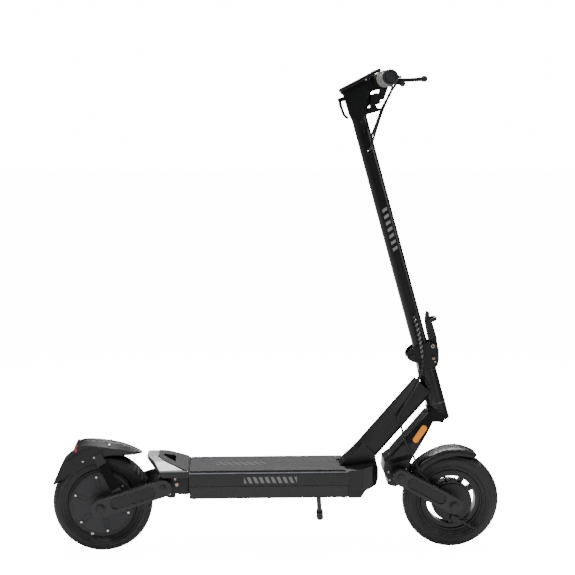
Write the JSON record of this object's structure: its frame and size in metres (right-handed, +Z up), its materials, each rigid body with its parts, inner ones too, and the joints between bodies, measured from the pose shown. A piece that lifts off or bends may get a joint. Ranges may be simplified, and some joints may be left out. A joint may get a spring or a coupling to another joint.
{
  "type": "electric kick scooter",
  "caption": "Folding electric kick scooter with a raked stem, sprung swing arms, a rear hub motor, a drum-braked front wheel, fenders and a side stand.",
  "frame": {"origin": "on the ground, midway between the rearmost point of the rear tyre and the foremost point of the front tyre, in the middle plane", "axes": "+X forward, +Y to the rider's left, +Z up"},
  "size_m": [1.1505, 0.55, 1.2322],
  "materials": {
    "frame_paint": "satin black powder coat over aluminium",
    "silver_alloy": "bead-blasted silver",
    "grey_alloy": "satin grey anodised",
    "grip_tape": "matt rubber with a fine tread pattern",
    "bolt_steel": "zinc plated",
    "black_plastic": "fine grained black",
    "lens_dark": "smoked gloss",
    "lens_clear": "clear ribbed",
    "lens_red": "translucent red",
    "reflector_orange": "prismatic orange",
    "grip_rubber": "ribbed soft rubber with a grey collar",
    "grip_cap": "dark grey",
    "bar_alloy": "black anodised",
    "key_plastic": "grey keys",
    "hook_steel": "black painted steel",
    "cable_jacket": "black cable jacket, spiral wrap on the thick one",
    "rim_alloy": "gloss black cast alloy",
    "motor_alloy": "dark grey cast covers",
    "tyre_rubber": "black tyre with block tread"
  },
  "bodies": {
    "frame": {"deck_frame": "frame_paint", "deck_mat": "grip_tape", "battery_cover": "frame_paint", "frame_screws": "bolt_steel", "neck_frame": "frame_paint", "head_bearings": "bolt_steel", "rear_bracket": "frame_paint", "kick_plate": "silver_alloy", "kick_pad": "grip_tape", "kickstand_bracket": "frame_paint"},
    "kickstand": {"kickstand_leg": "hook_steel", "kickstand_foot": "grip_rubber"},
    "steering": {"fork": "frame_paint", "fork_cover": "grey_alloy", "fork_reflectors": "reflector_orange", "fold_base": "frame_paint", "fold_bolts": "bolt_steel", "steer_cable": "cable_jacket"},
    "latch": {"latch_lever": "bar_alloy"},
    "catch": {"safety_catch": "bar_alloy"},
    "stem": {"stem_foot": "frame_paint", "stem_tube": "frame_paint", "stem_head": "frame_paint", "display": "black_plastic", "display_lens": "lens_dark", "handlebar": "bar_alloy", "grips": "grip_rubber", "bar_ends": "grip_cap", "lever_mounts": "black_plastic", "throttle_housing": "black_plastic", "control_pod": "black_plastic", "lamp_housing": "black_plastic", "lamp_lens": "lens_clear", "upper_cables": "cable_jacket", "fold_cable": "cable_jacket"},
    "power_key": {"power_button": "key_plastic"},
    "horn_key": {"horn_button": "key_plastic"},
    "lamp_key": {"lamp_button": "key_plastic"},
    "lever_right": {"brake_lever_right": "bar_alloy"},
    "lever_left": {"brake_lever_left": "bar_alloy"},
    "throttle": {"throttle_paddle": "black_plastic"},
    "bag_hook": {"hook": "hook_steel"},
    "front_arm": {"front_arms": "frame_paint", "front_axle": "bolt_steel", "front_fender": "black_plastic", "brake_plate": "rim_alloy", "arm_cable": "cable_jacket"},
    "brake_cam_arm": {"brake_arm": "bar_alloy"},
    "front_wheel": {"front_rim": "rim_alloy", "front_tyre": "tyre_rubber"},
    "rear_arm": {"rear_arms": "frame_paint", "rear_axle": "bolt_steel", "rear_fender": "black_plastic", "fender_struts": "black_plastic", "tail_light": "lens_red", "mudflap": "black_plastic"},
    "rear_wheel": {"motor_shell": "rim_alloy", "motor_covers": "motor_alloy", "motor_screws": "bolt_steel", "rear_tyre": "tyre_rubber"}
  },
  "joints": [
    {"name": "steer", "type": "hinge", "parent": "frame", "child": "steering", "pos_m": [0.40047, 0, 0.41958], "axis": [-0.2639, 0, 0.9646], "range_deg": [-45, 45], "deforming": ["steer_cable"]},
    {"name": "stem_fold", "type": "hinge", "parent": "steering", "child": "stem", "pos_m": [0.34655, 0, 0.49918], "axis": [0, -1, 0], "range_deg": [0, 93], "deforming": ["fold_cable"]},
    {"name": "latch_turn", "type": "hinge", "parent": "steering", "child": "latch", "pos_m": [0.40073, 0, 0.52851], "axis": [0, 1, 0], "range_deg": [0, 75]},
    {"name": "catch_press", "type": "hinge", "parent": "latch", "child": "catch", "pos_m": [0.39235, 0, 0.58946], "axis": [0, 1, 0], "range_deg": [0, 18], "stiffness_Nm_per_rad": 0.3, "springref_deg": -17.19},
    {"name": "power_press", "type": "slide", "parent": "stem", "child": "power_key", "axis": [0.4621, 0, -0.8868], "range_m": [0, 0.001], "stiffness_N_per_m": 600, "springref_m": -0.001},
    {"name": "horn_press", "type": "slide", "parent": "stem", "child": "horn_key", "axis": [0.9646, 0, 0.2639], "range_m": [0, 0.001], "stiffness_N_per_m": 500, "springref_m": -0.001},
    {"name": "lamp_press", "type": "slide", "parent": "stem", "child": "lamp_key", "axis": [0.9646, 0, 0.2639], "range_m": [0, 0.001], "stiffness_N_per_m": 500, "springref_m": -0.001},
    {"name": "brake_right", "type": "hinge", "parent": "stem", "child": "lever_right", "pos_m": [0.29612, -0.112, 1.19907], "axis": [0, 0, -1], "range_deg": [0, 20], "stiffness_Nm_per_rad": 1.5, "springref_deg": -11.46},
    {"name": "brake_left", "type": "hinge", "parent": "stem", "child": "lever_left", "pos_m": [0.29612, 0.112, 1.19907], "axis": [0, 0, 1], "range_deg": [0, 20], "stiffness_Nm_per_rad": 1.5, "springref_deg": -11.46},
    {"name": "throttle_turn", "type": "hinge", "parent": "stem", "child": "throttle", "pos_m": [0.26312, -0.085, 1.20207], "axis": [0, -1, 0], "range_deg": [0, 35], "stiffness_Nm_per_rad": 0.2, "springref_deg": -17.19},
    {"name": "hook_swing", "type": "hinge", "parent": "stem", "child": "bag_hook", "pos_m": [0.16352, 0, 1.15306], "axis": [0, 1, 0], "range_deg": [0, 100]},
    {"name": "front_suspension", "type": "hinge", "parent": "steering", "child": "front_arm", "pos_m": [0.31425, 0, 0.199], "axis": [0, -1, 0], "range_deg": [0, 12], "stiffness_Nm_per_rad": 120, "springref_deg": -17.19, "deforming": ["arm_cable"]},
    {"name": "brake_cam", "type": "hinge", "parent": "front_arm", "child": "brake_cam_arm", "pos_m": [0.42725, -0.045, 0.146], "axis": [0, 1, 0], "range_deg": [0, 18], "stiffness_Nm_per_rad": 0.5, "springref_deg": -11.46, "deforming": ["arm_cable"]},
    {"name": "front_roll", "type": "hinge", "parent": "front_arm", "child": "front_wheel", "pos_m": [0.45125, 0, 0.124], "axis": [0, 1, 0], "continuous": true},
    {"name": "rear_suspension", "type": "hinge", "parent": "frame", "child": "rear_arm", "pos_m": [-0.28875, 0, 0.178], "axis": [0, 1, 0], "range_deg": [0, 6], "stiffness_Nm_per_rad": 250, "springref_deg": -14.32},
    {"name": "rear_roll", "type": "hinge", "parent": "rear_arm", "child": "rear_wheel", "pos_m": [-0.44775, 0, 0.1275], "axis": [0, 1, 0], "continuous": true},
    {"name": "stand_swing", "type": "hinge", "parent": "frame", "child": "kickstand", "pos_m": [0.11225, 0.085, 0.138], "axis": [0, 0.866, 0.5], "range_deg": [0, 88]}
  ],
  "couplings": [
    {"joint": "brake_cam", "follows": "brake_right", "ratio": 0.9}
  ]
}
